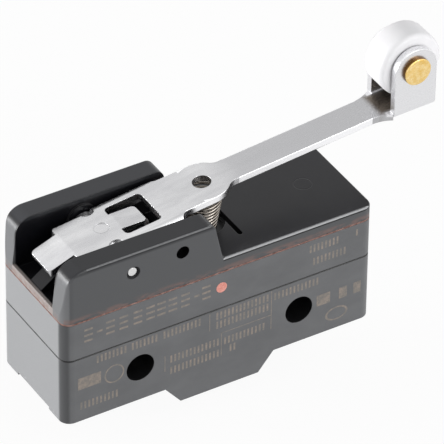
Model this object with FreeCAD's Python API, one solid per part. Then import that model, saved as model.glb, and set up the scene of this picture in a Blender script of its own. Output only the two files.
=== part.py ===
import FreeCAD, Part
import math
import os

# Snap-action lever switch: moulded case, long hinged lever with a roller, conical return spring and
# screw terminals underneath. Millimetres. Origin: midway between the two mounting holes, at
# mid-width. +X runs along the body towards the roller, +Y runs along the mounting holes to the back
# face, and +Z points up to the lever.

Vector = FreeCAD.Vector
os.makedirs("parts", exist_ok=True)

# Body, outside
body_length = 49.2
body_width = 17.45
corner_radius = 1.6
hole_inset = 11.9
hole_radius = 2.18
base_depth = 5.58
base_height = 5.25
cover_height = 6.1
seal_thickness = 0.3
deck_rise = 2.05
cheek_rise = 6.4
edge_round = 0.3
seam_chamfer = 0.15
seal_inset = 0.06

# Body, inside
wall = 1.6
floor_thickness = 2.0
ceiling_thickness = 1.4
hole_wall = 1.5
lip_height = 0.85
lip_thickness = 0.7
lip_clearance = 0.1

# Block under the middle of the base
block_depth = 2.96
block_flat_half = 6.24
block_slope_run = 2.45

# Seats of the terminals in the underside of the base
seat_depth = 0.4
seat_clearance = 0.1

# Channel between the two cheeks
channel_width = 11.0
channel_floor = 0.55
channel_length = 20.2
end_wall = 0.6
end_wall_rise = 1.2
cheek_left_lean = 0.8
cheek_left_round = 2.7
cheek_top_length = 23.6
cheek_right_lean = 1.4
cheek_right_round = 1.4
cheek_foot_round = 0.5

# Pivot of the lever
pivot_inset = 10.8
pivot_drop = 3.3
pin_radius = 0.8
pin_fit = 0.03
pin_chamfer = 0.15
pin_recess = 0.3
pin_mouth_radius = 1.03
boss_radius = 2.3
boss_clearance = 0.12
spare_hole_from_pivot = 7.72
spare_hole_rise = 0.5
spare_hole_radius = 1.0

# Stop that the lever rests on
stop_from_pivot = 3.6
stop_length = 1.6
stop_width = 2.8
stop_clearance = 0.05

# Lever, one folded sheet
sheet = 1.0
plate_angle = 6.8
arm_angle = 5.6
fork_angle = 2.0
tail_angle = 20.7
plate_over_pin = 0.08
tail_bend_from_pivot = 5.7
tail_reach = 3.93
tail_width = 5.2
tail_round = 0.7
plate_width = 7.66
shoulder_round = 0.4
lever_width = 7.96
flange_width = 10.18
arm_width = 4.7
arm_break_from_spring = 4.6
head_slant = 45.0
head_blend = 1.9
soft_bend = 12.0
tail_bend = 1.6
root_bend = 4.0
root_from_ear = 0.4
dimple_radius = 1.1
dimple_depth = 0.14
notch_radius = 1.2
notch_from_edge = 0.6
lobe_radius = 1.35
flange_bend = 1.25
flange_start = 0.95
flange_end = 10.1
flange_relief = 1.1
flange_end_drop = 1.1
flange_end_round = 0.8
window_start = 2.1
window_length = 5.7
window_width = 6.5
window_round = 0.7
tongue_width = 3.6
tongue_length = 3.73
tongue_round = 0.6
tongue_bend = 0.9
tongue_root = 0.3
tongue_angle = 0.3

# Roller and its fork
roller_from_pivot = 47.95
roller_radius = 4.95
roller_width = 4.5
roller_round = 0.4
roller_fit = 0.06
roller_side_gap = 0.25
roller_floor_gap = 1.4
rivet_radius = 1.25
rivet_fit = 0.02
rivet_head_radius = 2.1
rivet_head_height = 0.6
rivet_tail_radius = 1.9
rivet_tail_height = 0.5
rivet_round = 0.2
ear_length = 6.7
fork_bend = 1.3
flare_angle = 30.0
flare_round = 5.0
flare_inset = 0.2

# Return spring, a cone that widens upwards, with its recess and a slot in the deck
spring_from_pivot = 15.8
spring_wire = 0.4
spring_foot_radius = 2.05
spring_head_radius = 3.2
spring_pitch = 0.72
spring_end_gap = 0.05
spring_seam_turn = 0.5
spring_section_arcs = 3
lever_hole_radius = 1.35
recess_radius = 3.3
recess_depth = 1.45
slot_from_spring = 3.3
slot_width = 0.7
slot_length = 10.4
slot_depth = 1.2

# Plunger and the guide that it slides in
plunger_from_pivot = 5.6
plunger_radius = 1.6
plunger_fit = 0.05
plunger_dome = 3.0
plunger_gap = 0.02
plunger_flange_radius = 2.6
plunger_flange_height = 1.0
plunger_flange_gap = 0.3
plunger_tip_radius = 0.9
plunger_tip_round = 0.3
guide_wall = 1.0
guide_rise = 3.4
seal_hole_clearance = 0.3

# Snap blade and contacts
blade_thickness = 0.25
blade_width = 5.8
blade_rise = 1.55
blade_left_inset = 3.2
blade_right_overhang = 2.0
blade_end_round = 1.0
blade_slot = 0.5
blade_tongue_width = 2.0
tongue_root_from_contact = 8.0
blade_tongue_drop = 0.55
blade_tongue_sag = 1.0
blade_window_gap = 1.0
rest_gap = 0.05
contact_inset = 7.6
contact_radius = 1.6
contact_height = 0.45
contact_shank_radius = 0.8
contact_travel = 0.6
contact_overhang = 2.4
rivet_hole_fit = 0.05
anchor_length = 4.8
anchor_drop = 1.7
anchor_rivet_radius = 0.9
anchor_head_radius = 1.5
anchor_head_height = 0.4

# Terminals and their screws
strip = 0.8
strip_bend = 0.4
strip_width = 5.6
riser_clearance = 0.08
plate_half = 4.2
terminal_inset = 6.7
hook_from_plunger = 5.2
hook_height = 1.3
nc_width = 5.0
nc_riser_gap = 0.925
nc_riser_from_middle = 1.5
screw_radius = 1.95
screw_length = 5.0
screw_fit = 0.05
screw_chamfer = 0.4
screw_head_radius = 3.45
screw_head_height = 2.4
screw_head_round = 0.8
cross_width = 0.9
cross_length = 4.2
cross_depth = 1.3
pocket_clearance = 0.3
pocket_top = 0.35
pocket_wall = 0.95
washer_thickness = 0.6
washer_half = 3.6
washer_round = 0.9
washer_hole_clearance = 0.25

# Worked out from the sizes above
margin = 1.0
half_length = body_length / 2
half_width = body_width / 2
channel_half = channel_width / 2
lever_half = lever_width / 2
flange_half = flange_width / 2
arm_half = arm_width / 2
hole_pitch = body_length - 2 * hole_inset
terminal_from_middle = half_length - terminal_inset
contact_from_middle = half_length - contact_inset
blade_tongue_root = contact_from_middle - tongue_root_from_contact
nc_riser_offset = half_width - wall - nc_riser_gap - strip
nc_left = nc_riser_from_middle - nc_width / 2
nc_right = nc_riser_from_middle + nc_width / 2
z_under = -base_depth
z_block = z_under - block_depth
z_floor = z_under + floor_thickness
z_seam = base_height
z_cover = z_seam + cover_height
z_ceiling = z_cover - ceiling_thickness
z_housing = z_cover + seal_thickness
z_channel = z_housing + channel_floor
z_rim = z_housing + end_wall_rise
z_deck = z_housing + deck_rise
z_cheek = z_deck + cheek_rise
channel_left = end_wall - half_length
channel_right = channel_left + channel_length
pivot_x = pivot_inset - half_length
pivot_z = z_cheek - pivot_drop
spring_x = pivot_x + spring_from_pivot
plunger_x = pivot_x + plunger_from_pivot
hook_from_middle = plunger_x + hook_from_plunger
roller_x = pivot_x + roller_from_pivot
ear_left = roller_x - ear_length / 2
ear_right = roller_x + ear_length / 2
fork_inner = roller_width / 2 + roller_side_gap
fork_half = fork_inner + sheet
flange_left = pivot_x + flange_start
flange_right = pivot_x + flange_end
z_blade = z_seam + blade_rise
z_blade_top = z_blade + blade_thickness
z_com_arm = z_blade - anchor_drop - strip
z_no_arm = z_blade - contact_height - contact_travel - contact_height - strip
z_nc_arm = z_blade_top + contact_height + rest_gap + contact_height
z_seat = z_under + seat_depth
z_block_seat = z_block + seat_depth
riser_face = half_length - wall - riser_clearance - strip

PLANES = {
    "flat": (Vector(1, 0, 0), Vector(0, 1, 0), Vector(0, 0, 1)),
    "side": (Vector(1, 0, 0), Vector(0, 0, 1), Vector(0, 1, 0)),
    "across": (Vector(0, 1, 0), Vector(0, 0, 1), Vector(1, 0, 0)),
}


def rise(degrees):
    """Rise per millimetre of run of a slope."""
    return math.tan(math.radians(degrees))


def thick(degrees):
    """Upright thickness of the lever's sheet where it slopes."""
    return sheet / math.cos(math.radians(degrees))


def corner_reaches(spots, radii):
    """How far each corner's arc reaches along its two sides, shortened where two arcs would meet."""
    count = len(spots)
    turns = []
    for index, spot in enumerate(spots):
        turns.append((spots[index - 1] - spot).getAngle(spots[(index + 1) % count] - spot))
    wanted = [radius / math.tan(turn / 2) for radius, turn in zip(radii, turns)]
    reaches = list(wanted)
    for index in range(count):
        after = (index + 1) % count
        side = (spots[after] - spots[index]).Length
        both = wanted[index] + wanted[after]
        if both > side:
            share = side / both
            reaches[index] = min(reaches[index], wanted[index] * share)
            reaches[after] = min(reaches[after], wanted[after] * share)
    return reaches, turns


def rounded_wire(points, plane):
    """Closed wire through corners (u, v, radius), each rounded by an arc of its radius."""
    along, up, normal = PLANES[plane]
    spots = [along * u + up * v for u, v, radius in points]
    reaches, turns = corner_reaches(spots, [radius for u, v, radius in points])
    smallest = 1e-6
    edges = []
    starts = []
    ends = []
    arcs = []
    for index, spot in enumerate(spots):
        back = spots[index - 1] - spot
        ahead = spots[(index + 1) % len(spots)] - spot
        back.normalize()
        ahead.normalize()
        reach = reaches[index]
        starts.append(spot + back * reach)
        ends.append(spot + ahead * reach)
        arcs.append(None)
        if reach > smallest:
            radius = reach * math.tan(turns[index] / 2)
            inward = back + ahead
            inward.normalize()
            depth = radius / math.sin(turns[index] / 2) - radius
            arcs[index] = Part.Arc(starts[index], spot + inward * depth, ends[index]).toShape()
    for index in range(len(spots)):
        if arcs[index]:
            edges.append(arcs[index])
        after = starts[(index + 1) % len(spots)]
        if (after - ends[index]).Length > smallest:
            edges.append(Part.LineSegment(ends[index], after).toShape())
    return Part.Wire(edges)


def prism(points, plane, low, high):
    """Solid of a rounded outline, between two places along its plane's normal."""
    normal = PLANES[plane][2]
    face = Part.Face(rounded_wire(points, plane))
    face.translate(normal * low)
    return face.extrude(normal * (high - low))


def block(x_low, x_high, y_low, y_high, z_low, z_high):
    """Plain block between two corners."""
    return Part.makeBox(x_high - x_low, y_high - y_low, z_high - z_low, Vector(x_low, y_low, z_low))


def upright(radius, x, y, z_low, z_high):
    """Round bar along Z."""
    return Part.makeCylinder(radius, z_high - z_low, Vector(x, y, z_low), Vector(0, 0, 1))


def crosswise(radius, x, z, y_low, y_high):
    """Round bar along Y."""
    return Part.makeCylinder(radius, y_high - y_low, Vector(x, y_low, z), Vector(0, 1, 0))


def rectangle(x_low, x_high, y_low, y_high, radius):
    """Corners of a rectangle with one corner radius."""
    corners = [(x_low, y_low), (x_high, y_low), (x_high, y_high), (x_low, y_high)]
    return [(x, y, radius) for x, y in corners]


def body_slab(z_low, z_high, inset):
    """Slab with the body's rounded rectangular outline, drawn in by inset."""
    x_half = half_length - inset
    y_half = half_width - inset
    radius = max(corner_radius - inset, edge_round)
    return prism(rectangle(-x_half, x_half, -y_half, y_half, radius), "flat", z_low, z_high)


def level_edges(shape, z):
    """Edges of a shape that lie at one height."""
    near = 1e-4
    level = [edge for edge in shape.Edges if edge.BoundBox.ZLength < near]
    return [edge for edge in level if abs(edge.BoundBox.ZMin - z) < near]


def folded_outline(points, thickness):
    """Outline of a folded strip: points (u, v, inner bend radius) run along the face on its left."""
    left = []
    right = []
    last = len(points) - 1
    spots = [Vector(u, v, 0) for u, v, bend in points]
    for index, (u, v, bend) in enumerate(points):
        back = spots[max(index, 1)] - spots[max(index, 1) - 1]
        ahead = spots[min(index, last - 1) + 1] - spots[min(index, last - 1)]
        back.normalize()
        ahead.normalize()
        normal = Vector(back.y + ahead.y, -back.x - ahead.x, 0)
        normal.normalize()
        shift = normal * (thickness / normal.dot(Vector(ahead.y, -ahead.x, 0)))
        turn = back.x * ahead.y - back.y * ahead.x
        left_radius = 0
        right_radius = 0
        if 0 < index < last:
            left_radius = bend if turn > 0 else bend + thickness
            right_radius = bend + thickness if turn > 0 else bend
        left.append((u, v, left_radius))
        right.append((u + shift.x, v + shift.y, right_radius))
    return left + right[::-1]


def screw_top(seat):
    """Height of the screw's tip, for a terminal plate whose upper face is at seat."""
    return seat - strip - washer_thickness + screw_length


def base_case():
    """Lower case: tub with two cross tubes for the mounting holes, screw pockets and a locating lip."""
    shell = body_slab(z_under, z_seam, 0)
    shell = shell.makeChamfer(seam_chamfer, level_edges(shell, z_seam))
    foot_half = block_flat_half + block_slope_run
    middle = [(-foot_half, z_under + margin, 0), (-foot_half, z_under, 0), (-block_flat_half, z_block, 0),
              (block_flat_half, z_block, 0), (foot_half, z_under, 0), (foot_half, z_under + margin, 0)]
    shell = shell.fuse(prism(middle, "side", -half_width, half_width))
    shell = shell.cut(body_slab(z_floor, z_seam + margin, wall))
    lip_inset = wall - lip_thickness
    lip = body_slab(z_seam - margin, z_seam + lip_height, lip_inset)
    shell = shell.fuse(lip.cut(body_slab(z_seam - 2 * margin, z_seam + 2 * margin, wall)))
    inner = half_width - wall / 2
    for side in (-1, 1):
        shell = shell.fuse(crosswise(hole_radius + hole_wall, side * hole_pitch / 2, 0, -inner, inner))
    pocket = screw_radius + pocket_clearance
    for x, seat, foot in screw_places():
        top = screw_top(seat) + pocket_top
        shell = shell.fuse(upright(pocket + pocket_wall, x, 0, z_floor - margin, top + pocket_wall))
    for x, seat, foot in screw_places():
        shell = shell.cut(upright(pocket, x, 0, foot - margin, screw_top(seat) + pocket_top))
    for side in (-1, 1):
        x = side * hole_pitch / 2
        shell = shell.cut(crosswise(hole_radius, x, 0, -half_width - margin, half_width + margin))
    return cut_terminal_seats(shell).removeSplitter()


def screw_places():
    """Place along X, height of the terminal's seat and height of the face around it, for each screw."""
    return [(-terminal_from_middle, z_seat, z_under), (0, z_block_seat, z_block),
            (terminal_from_middle, z_seat, z_under)]


def cut_terminal_seats(shell):
    """Shallow seats for the terminal plates, and the slots that their risers pass through."""
    half = plate_half + seat_clearance
    inner_end = terminal_from_middle - plate_half - seat_clearance
    riser_low = riser_face - strip_bend - riser_clearance
    riser_high = riser_face + strip + riser_clearance
    riser_half = strip_width / 2 + riser_clearance
    low = z_under - margin
    for side in (-1, 1):
        ends = sorted((side * inner_end, side * (half_length + margin)))
        shell = shell.cut(block(ends[0], ends[1], -half, half, low, z_seat))
        slot = sorted((side * riser_low, side * riser_high))
        shell = shell.cut(block(slot[0], slot[1], -riser_half, riser_half, low, z_floor + margin))
    back = nc_riser_offset + strip + riser_clearance
    shell = shell.cut(block(-half, half, -half, back, z_block - margin, z_block_seat))
    left = nc_left - riser_clearance
    right = nc_right + riser_clearance
    slot_front = nc_riser_offset - strip_bend - riser_clearance
    return shell.cut(block(left, right, slot_front, back, z_block - margin, z_floor + margin))


def cover():
    """Upper case: a lid with a rebate over the base's lip and a bore for the plunger."""
    shell = body_slab(z_seam, z_cover, 0)
    shell = shell.makeChamfer(seam_chamfer, level_edges(shell, z_seam))
    shell = shell.cut(body_slab(z_seam - margin, z_ceiling, wall))
    rebate = wall - lip_thickness - lip_clearance
    shell = shell.cut(body_slab(z_seam - margin, z_seam + lip_height + lip_clearance, rebate))
    bore = plunger_radius + plunger_fit
    return shell.cut(upright(bore, plunger_x, 0, z_ceiling - margin, z_cover + margin))


def seal_gasket():
    """Thin seal between the cover and the actuator housing."""
    sheet_seal = body_slab(z_cover, z_housing, seal_inset)
    bore = plunger_radius + seal_hole_clearance
    return sheet_seal.cut(upright(bore, plunger_x, 0, z_cover - margin, z_deck))


def cheek_outline():
    """Side view of the housing: cheeks on the left, sloping down to the deck on the right."""
    top_left = cheek_left_lean - half_length
    top_right = cheek_top_length - half_length
    return [(-half_length, z_housing, 0), (-half_length, z_rim, 0), (top_left, z_cheek, cheek_left_round),
            (top_right, z_cheek, cheek_right_round), (top_right + cheek_right_lean, z_deck, cheek_foot_round),
            (half_length, z_deck, 0), (half_length, z_housing, 0)]


def outer_top_edges(shape):
    """Edges where the housing's outer walls meet its upper faces."""
    near = 1e-4
    chosen = []
    for edge in shape.Edges:
        box = edge.BoundBox
        on_wall = min(abs(box.YMin), abs(box.YMax)) > half_width - near and box.YLength < near
        level = box.ZLength < near
        on_end = box.XMax > half_length - corner_radius - near and level and box.ZMin > z_housing + near
        standing = box.XLength < near and box.YLength < near
        if (on_wall or on_end) and not standing and box.ZMax > z_housing + near:
            chosen.append(edge)
    return chosen


def actuator_housing():
    """Deck with two cheeks that carry the lever's pin, a guide for the plunger and a stop."""
    shell = prism(cheek_outline(), "side", -half_width, half_width)
    shell = shell.common(body_slab(z_housing, z_cheek + margin, 0))
    shell = shell.makeFillet(edge_round, outer_top_edges(shell))
    high = z_cheek + margin
    shell = shell.cut(block(channel_left, channel_right, -channel_half, channel_half, z_channel, high))
    outside = -half_length - margin
    shell = shell.cut(block(outside, channel_left + margin, -channel_half, channel_half, z_rim, high))
    foot = cheek_top_length + cheek_right_lean - half_length + margin
    shell = shell.cut(block(channel_right - margin, foot, -channel_half, channel_half, z_deck, high))
    for side in (-1, 1):
        ends = sorted((side * (flange_half + boss_clearance), side * (channel_half + wall)))
        shell = shell.fuse(crosswise(boss_radius, pivot_x, pivot_z, ends[0], ends[1]))
    shell = shell.fuse(lever_stop())
    guide = plunger_radius + plunger_fit
    shell = shell.fuse(upright(guide + guide_wall, plunger_x, 0, z_housing, z_channel + guide_rise))
    shell = shell.cut(upright(guide, plunger_x, 0, z_housing - margin, z_channel + guide_rise + margin))
    shell = shell.cut(upright(recess_radius, spring_x, 0, z_deck - recess_depth, z_deck + margin))
    slot_x = spring_x + slot_from_spring
    across = slot_width / 2
    slot = rectangle(slot_x - across, slot_x + across, -slot_length / 2, slot_length / 2, across)
    shell = shell.cut(prism(slot, "flat", z_deck - slot_depth, z_deck + margin))
    return cut_cheek_holes(shell).removeSplitter()


def lever_stop():
    """Rib that rises from the end wall under the tail to the seat that the lever's plate rests on."""
    left = pivot_x - stop_from_pivot - stop_length / 2
    right = left + stop_length
    top = plate_top(left) - thick(plate_angle) - stop_clearance
    outline = [(channel_left, z_housing, 0), (channel_left, z_rim, 0), (left, top, 0), (right, top, 0),
               (right, z_housing, 0)]
    return prism(outline, "side", -stop_width / 2, stop_width / 2)


def cut_cheek_holes(shell):
    """Pin bore with a wider mouth on each side, and the spare hole beside it."""
    outside = half_width + margin
    shell = shell.cut(crosswise(pin_radius + pin_fit, pivot_x, pivot_z, -outside, outside))
    for side in (-1, 1):
        ends = sorted((side * (half_width - pin_recess), side * outside))
        shell = shell.cut(crosswise(pin_mouth_radius, pivot_x, pivot_z, ends[0], ends[1]))
    x = pivot_x + spare_hole_from_pivot
    return shell.cut(crosswise(spare_hole_radius, x, pivot_z + spare_hole_rise, -outside, outside))


def pivot_pin():
    """Steel pin through both cheeks, with chamfered ends."""
    end = half_width - pin_recess
    pin = crosswise(pin_radius, pivot_x, pivot_z, -end, end)
    rims = [edge for edge in pin.Edges if edge.BoundBox.YLength < pin_chamfer]
    return pin.makeChamfer(pin_chamfer, rims)


def plate_top(x):
    """Height of the upper face of the lever's plate."""
    return pivot_z + pin_radius + plate_over_pin + thick(plate_angle) + rise(plate_angle) * (x - pivot_x)


def arm_top(x):
    """Height of the upper face of the lever's arm, past the bend near the spring."""
    break_x = spring_x + arm_break_from_spring
    return plate_top(break_x) + rise(arm_angle) * (x - break_x)


def fork_top(x):
    """Height of the upper face of the fork's floor."""
    root_x = ear_left - root_from_ear
    return arm_top(root_x) + rise(fork_angle) * (x - root_x)


def tongue_top(x):
    """Height of the upper face of the tongue in the lever's window."""
    root_x = pivot_x + window_start + tongue_root
    return plate_top(root_x) + rise(tongue_angle) * (x - root_x)


def lever_slab():
    """The sheet seen from the side, from its tail to the end of the fork, as wide as the widest part."""
    bend_x = pivot_x - tail_bend_from_pivot
    tail_x = bend_x - tail_reach
    break_x = spring_x + arm_break_from_spring
    root_x = ear_left - root_from_ear
    path = [(tail_x, plate_top(bend_x) - rise(tail_angle) * (bend_x - tail_x), 0),
            (bend_x, plate_top(bend_x), tail_bend), (break_x, plate_top(break_x), soft_bend),
            (root_x, arm_top(root_x), root_bend), (ear_right + margin, fork_top(ear_right + margin), 0)]
    return prism(folded_outline(path, sheet), "side", -lever_half - margin, lever_half + margin)


def lever_plan():
    """The lever seen from above: tail, plate, round head, narrow arm and flare to the fork."""
    bend_x = pivot_x - tail_bend_from_pivot
    flat_half = flange_half - flange_bend
    plate_half_width = plate_width / 2
    slant_x = spring_x + lever_half * rise(head_slant / 2)
    neck_x = slant_x + (lever_half - arm_half) / rise(head_slant)
    flare_half = fork_half - flare_inset
    flare_x = ear_left - (flare_half - arm_half) / rise(flare_angle)
    upper = [(bend_x - tail_reach, tail_width / 2, tail_round), (bend_x, tail_width / 2, 0),
             (bend_x, plate_half_width, shoulder_round), (flange_left, plate_half_width, 0),
             (flange_left, flat_half, 0), (flange_right, flat_half, 0), (flange_right, lever_half, 0),
             (slant_x, lever_half, lever_half), (neck_x, arm_half, head_blend),
             (flare_x, arm_half, flare_round), (ear_left, flare_half, 0),
             (ear_left, fork_half - fork_bend, 0), (ear_right, fork_half - fork_bend, 0)]
    lower = [(x, -y, radius) for x, y, radius in upper[::-1]]
    return prism(upper + lower, "flat", z_channel, z_cheek + roller_from_pivot)


def folded_channel(x_low, x_high, outer_at, slope, half, bend, leg):
    """Sheet folded along both edges, whose outer face has the height outer_at(x); leg is signed."""
    upward = math.copysign(1, leg)
    inner = half - sheet
    inner_bend = bend - sheet
    floor = upward * thick(slope)
    points = [(-half, leg, 0), (-half, 0, bend), (half, 0, bend), (half, leg, 0), (inner, leg, 0),
              (inner, floor, inner_bend), (-inner, floor, inner_bend), (-inner, leg, 0)]
    face = Part.Face(rounded_wire(points, "across"))
    face.translate(Vector(x_low, 0, outer_at(x_low)))
    run = x_high - x_low
    return face.extrude(Vector(run, 0, run * rise(slope)))


def lever_flanges():
    """The plate's folded edges, wider than its head, which reach back round the pivot pin."""
    left = pivot_x - lobe_radius - margin
    right = flange_right + flange_relief
    leg = -(flange_half + margin)
    fold = folded_channel(left, right, plate_top, plate_angle, flange_half, flange_bend, leg)
    high = z_cheek + margin
    end_z = plate_top(flange_right) - thick(plate_angle) - flange_end_drop
    outline = [(flange_left, high, 0), (right, high, 0), (right, end_z, flange_end_round),
               (pivot_x, pivot_z - lobe_radius, 0), (pivot_x, pivot_z, 0), (flange_left, pivot_z, 0)]
    outside = flange_half + margin
    side = prism(outline, "side", -outside, outside)
    side = side.fuse(crosswise(lobe_radius, pivot_x, pivot_z, -outside, outside))
    fold = fold.common(side)
    for across in (-1, 1):
        inner = across * lever_half
        outer = across * outside
        relief = [(flange_right, inner, flange_relief), (right + margin, inner, 0),
                  (right + margin, outer, 0), (flange_right, outer, 0)]
        fold = fold.cut(prism(relief, "flat", z_channel, high))
    return fold


def fork_underside(x):
    """Height of the lower face of the fork's floor."""
    return fork_top(x) - thick(fork_angle)


def lever_fork():
    """The fork's floor with its two ears, which turn up and are round about the roller's rivet."""
    leg = roller_floor_gap + 2 * roller_radius + margin
    fold = folded_channel(ear_left, ear_right, fork_underside, fork_angle, fork_half, fork_bend, leg)
    ear_radius = ear_length / 2
    side = block(ear_left, ear_right, -fork_half - margin, fork_half + margin, z_channel, roller_z)
    side = side.fuse(crosswise(ear_radius, roller_x, roller_z, -fork_half - margin, fork_half + margin))
    return fold.common(side)


def lever_tongue():
    """Tongue in the window, set down a little, which presses the plunger."""
    left = pivot_x + window_start - tongue_root
    root_x = pivot_x + window_start + tongue_root
    right = root_x + tongue_length
    path = [(left, plate_top(left), 0), (root_x, plate_top(root_x), tongue_bend),
            (right, tongue_top(right), 0)]
    half = tongue_width / 2
    slab = prism(folded_outline(path, sheet), "side", -half, half)
    plan = [(left, -half, 0), (right, -half, tongue_round), (right, half, tongue_round), (left, half, 0)]
    return slab.common(prism(plan, "flat", z_channel, z_cheek + margin))


def lever():
    """The whole lever: one folded and pierced sheet."""
    body = lever_slab().common(lever_plan())
    for side in (-1, 1):
        notch_y = side * (plate_width / 2 + notch_from_edge)
        body = body.cut(upright(notch_radius, pivot_x, notch_y, pivot_z, z_cheek))
    body = body.fuse(lever_flanges())
    body = body.fuse(lever_fork())
    window_x = pivot_x + window_start
    half = window_width / 2
    window = rectangle(window_x, window_x + window_length, -half, half, window_round)
    body = body.cut(prism(window, "flat", pivot_z, z_cheek + margin))
    body = body.fuse(lever_tongue())
    normal = Vector(-rise(plate_angle), 0, 1)
    centre = Vector(spring_x, 0, plate_top(spring_x))
    start = centre - normal * (sheet + margin)
    body = body.cut(Part.makeCylinder(lever_hole_radius, 2 * (sheet + margin), start, normal))
    normal.normalize()
    dimple = Vector(pivot_x, 0, plate_top(pivot_x)) - normal * dimple_depth
    body = body.cut(Part.makeCylinder(dimple_radius, margin, dimple, normal))
    outside = flange_half + margin
    body = body.cut(crosswise(pin_radius + pin_fit, pivot_x, pivot_z, -outside, outside))
    outside = fork_half + margin
    body = body.cut(crosswise(rivet_radius + rivet_fit, roller_x, roller_z, -outside, outside))
    return body.removeSplitter()


def roller():
    """Plain roller with rounded rims, on its rivet."""
    half = roller_width / 2
    body = crosswise(roller_radius, roller_x, roller_z, -half, half)
    rims = [edge for edge in body.Edges if edge.BoundBox.YLength < roller_round]
    body = body.makeFillet(roller_round, rims)
    return body.cut(crosswise(rivet_radius + roller_fit, roller_x, roller_z, -half - margin, half + margin))


def roller_rivet():
    """Rivet through the fork, with a wide head in front and a smaller closed head behind."""
    body = crosswise(rivet_radius, roller_x, roller_z, -fork_half - rivet_round, fork_half + rivet_round)
    front = crosswise(rivet_head_radius, roller_x, roller_z, -fork_half - rivet_head_height, -fork_half)
    back = crosswise(rivet_tail_radius, roller_x, roller_z, fork_half, fork_half + rivet_tail_height)
    front_rim = [edge for edge in front.Edges if edge.BoundBox.YMax < -fork_half - rivet_round]
    back_rim = [edge for edge in back.Edges if edge.BoundBox.YMin > fork_half + rivet_round]
    front = front.makeFillet(rivet_round, front_rim)
    back = back.makeFillet(rivet_round, back_rim)
    return body.fuse(front).fuse(back).removeSplitter()


def return_spring():
    """Conical spring between the deck's recess and the lever, with its axis upright."""
    low = z_deck - recess_depth + spring_end_gap + spring_wire / 2
    left = spring_x - spring_head_radius
    high = plate_top(left) - thick(plate_angle) - spring_end_gap - spring_wire / 2
    foot = spring_foot_radius - spring_wire / 2
    head = spring_head_radius - spring_wire / 2
    spread = math.degrees(math.atan((head - foot) / (high - low)))
    helix = Part.Wire(Part.makeHelix(spring_pitch, high - low, foot, spread))
    circle = Part.Circle(Vector(foot, 0, 0), Vector(0, 1, 0), spring_wire / 2)
    share = 2 * math.pi / spring_section_arcs
    starts = [spring_seam_turn + index * share for index in range(spring_section_arcs)]
    section = Part.Wire([Part.ArcOfCircle(circle, start, start + share).toShape() for start in starts])
    body = helix.makePipeShell([section], True, True)
    body.translate(Vector(spring_x, 0, low))
    return body


def plunger():
    """Plunger with a domed head, a flange that keeps it in and a narrow tip on the blade."""
    top = tongue_top(plunger_x) - thick(tongue_angle) - plunger_gap
    flange_top = z_ceiling - plunger_flange_gap
    flange_low = flange_top - plunger_flange_height
    shaft = upright(plunger_radius, plunger_x, 0, flange_low, top)
    shoulder = top - plunger_radius
    dome = Part.makeSphere(plunger_dome, Vector(plunger_x, 0, top - plunger_dome))
    dome = dome.fuse(upright(plunger_radius + margin, plunger_x, 0, flange_low - margin, shoulder))
    shaft = shaft.common(dome)
    flange = upright(plunger_flange_radius, plunger_x, 0, flange_low, flange_top)
    tip_low = z_blade_top + rest_gap
    tip = upright(plunger_tip_radius, plunger_x, 0, tip_low, flange_low + plunger_flange_height / 2)
    tip = tip.makeFillet(plunger_tip_round, level_edges(tip, tip_low))
    return shaft.fuse(flange).fuse(tip).removeSplitter()


def arched_tongue(x_free, x_root, z_free, z_root, half):
    """Bowed strip between its free end and its root, hanging down in the middle by the sag."""
    middle = Vector((x_free + x_root) / 2, 0, (z_free + z_root) / 2 - blade_tongue_sag)
    lift = Vector(0, 0, blade_thickness)
    free = Vector(x_free, 0, z_free)
    root = Vector(x_root, 0, z_root)
    edges = [Part.Arc(free, middle, root).toShape(), Part.LineSegment(root, root + lift).toShape(),
             Part.Arc(root + lift, middle + lift, free + lift).toShape(),
             Part.LineSegment(free + lift, free).toShape()]
    face = Part.Face(Part.Wire(edges))
    face.translate(Vector(0, -half, 0))
    return face.extrude(Vector(0, 2 * half, 0))


def snap_blade():
    """Snap-action blade: a frame from the anchor to the contact, and a bowed tongue cut from its middle."""
    left = blade_left_inset - half_length
    right = contact_from_middle + blade_right_overhang
    half = blade_width / 2
    body = prism(rectangle(left, right, -half, half, blade_end_round), "flat", z_blade, z_blade_top)
    tongue_half = blade_tongue_width / 2
    window_half = tongue_half + blade_slot
    window_left = hook_from_middle - strip - blade_window_gap
    low = z_blade - margin
    opening = block(window_left, blade_tongue_root, -window_half, window_half, low, z_blade_top + margin)
    body = body.cut(opening)
    overlap = blade_slot
    free = hook_from_middle + rest_gap
    root = blade_tongue_root + overlap
    tongue = arched_tongue(free, root, z_blade - blade_tongue_drop, z_blade, tongue_half)
    body = body.fuse(tongue)
    body = body.cut(upright(contact_shank_radius + rivet_hole_fit, contact_from_middle, 0, low, z_nc_arm))
    return body.cut(upright(anchor_rivet_radius + rivet_hole_fit, anchor_middle(), 0, low, z_nc_arm))


def anchor_middle():
    """Place along X of the rivet that holds the blade."""
    return blade_left_inset - half_length + anchor_length / 2


def blade_anchor():
    """Block that lifts the blade's fixed end off the common terminal."""
    middle = anchor_middle()
    half = blade_width / 2
    low = z_com_arm + strip
    body = block(middle - anchor_length / 2, middle + anchor_length / 2, -half, half, low, z_blade)
    return body.cut(upright(anchor_rivet_radius + rivet_hole_fit, middle, 0, low - margin, z_blade + margin))


def anchor_rivet():
    """Rivet through the blade, the anchor block and the common terminal."""
    middle = anchor_middle()
    shank = upright(anchor_rivet_radius, middle, 0, z_com_arm, z_blade_top)
    low = upright(anchor_head_radius, middle, 0, z_com_arm - anchor_head_height, z_com_arm)
    high = upright(anchor_head_radius, middle, 0, z_blade_top, z_blade_top + anchor_head_height)
    return shank.fuse(low).fuse(high).removeSplitter()


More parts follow.
